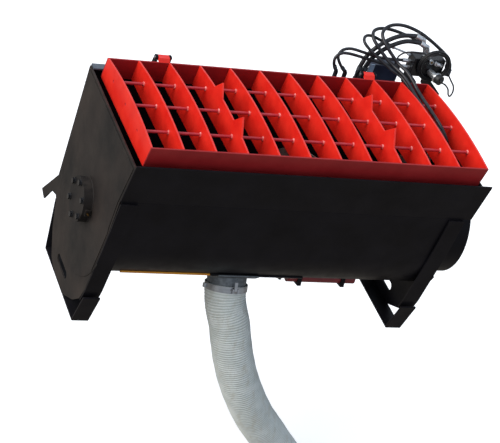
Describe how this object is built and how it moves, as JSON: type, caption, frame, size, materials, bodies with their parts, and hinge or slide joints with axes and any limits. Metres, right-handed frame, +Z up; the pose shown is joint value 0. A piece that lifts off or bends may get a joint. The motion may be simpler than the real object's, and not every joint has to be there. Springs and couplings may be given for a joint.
{
  "type": "concrete mixing bucket",
  "caption": "Hydraulic concrete mixing bucket for a skid-steer loader: black trough with a mixing auger, red bag-splitting grate and a ribbed discharge hose.",
  "frame": {"origin": "middle of the loader mounting plane, at the face that rests on the loader's mounting plate", "axes": "+Y out of the mounting face towards the loader, +X along the auger to the drive end, +Z up"},
  "size_m": [1.969, 1.0273, 2.158],
  "materials": {
    "satin_black": "satin",
    "grate_red": "semi-gloss",
    "gloss_black_metal": "painted",
    "guard_yellow": "satin",
    "cylinder_red": "satin",
    "bare_steel": "worn",
    "galvanised_steel": "dull",
    "chromed_steel": "polished",
    "zinc_plate": "plated",
    "dark_pipe": "dark",
    "mixer_steel": "worn, cement stained",
    "hydraulic_rubber": "satin",
    "cable_jacket": "satin",
    "seal_rubber": "matt",
    "black_plastic": "matt",
    "box_plastic": "satin",
    "discharge_vinyl": "satin, ribbed",
    "brass": "plain"
  },
  "bodies": {
    "bucket": {"front_plate": "satin_black", "trough_shell": "satin_black", "rear_plate": "satin_black", "left_end_plate": "satin_black", "right_end_plate": "satin_black", "end_doublers": "satin_black", "skids": "satin_black", "leg_flanges": "satin_black", "mount_plate": "satin_black", "mount_lip": "satin_black", "mount_ribs": "satin_black", "drive_cover": "satin_black", "valve_bracket": "satin_black", "hinge_brackets": "satin_black", "grate_ledges": "satin_black", "barrel_bracket": "satin_black", "gate_guides": "satin_black", "hinge_rail": "satin_black", "bearing_cover": "gloss_black_metal", "flange_bolts": "gloss_black_metal", "drive_motor": "gloss_black_metal", "valve_block": "gloss_black_metal", "guide_extensions": "guard_yellow", "gate_barrel": "cylinder_red", "shaft_bearing": "bare_steel", "hinge_pins": "bare_steel", "hose_clamp": "bare_steel", "outlet_spigot": "galvanised_steel", "valve_fittings": "zinc_plate", "solenoid": "zinc_plate", "box_bracket": "zinc_plate", "steel_pipes": "dark_pipe", "loader_hose_a": "hydraulic_rubber", "loader_hose_b": "hydraulic_rubber", "loader_hose_c": "hydraulic_rubber", "gate_hose_a": "hydraulic_rubber", "gate_hose_b": "hydraulic_rubber", "motor_hose_a": "hydraulic_rubber", "motor_hose_b": "hydraulic_rubber", "cable_coil": "cable_jacket", "control_cable": "cable_jacket", "shaft_seals": "seal_rubber", "solenoid_cap": "black_plastic", "control_box": "box_plastic", "discharge_hose": "discharge_vinyl", "grease_nipple": "brass"},
    "auger": {"auger_shaft": "mixer_steel", "auger_flights": "mixer_steel", "flight_arms": "mixer_steel", "drive_coupling": "bare_steel"},
    "grate": {"grate_long_bars": "grate_red", "grate_end_bars": "grate_red", "grate_slats": "grate_red", "toothed_slats": "grate_red", "grate_rods": "grate_red", "hinge_knuckles": "grate_red", "quick_couplers": "zinc_plate"},
    "gate": {"gate_plate": "bare_steel", "gate_rod": "chromed_steel"},
    "lever": {"clamp_lever": "bare_steel"}
  },
  "joints": [
    {"name": "auger_spin", "type": "hinge", "parent": "bucket", "child": "auger", "pos_m": [0, -0.399, 0.34], "axis": [1, 0, 0], "continuous": true},
    {"name": "grate_hinge", "type": "hinge", "parent": "bucket", "child": "grate", "pos_m": [0, -0.039, 0.896], "axis": [-1, 0, 0], "range_deg": [0, 85], "deforming": ["loader_hose_a", "loader_hose_b", "loader_hose_c"]},
    {"name": "gate_slide", "type": "slide", "parent": "bucket", "child": "gate", "axis": [-1, 0, 0], "range_m": [0, 0.2]},
    {"name": "clamp_latch", "type": "hinge", "parent": "bucket", "child": "lever", "pos_m": [-0.135, -0.66152, 0.04203], "axis": [1, 0, 0], "range_deg": [0, 110]}
  ]
}
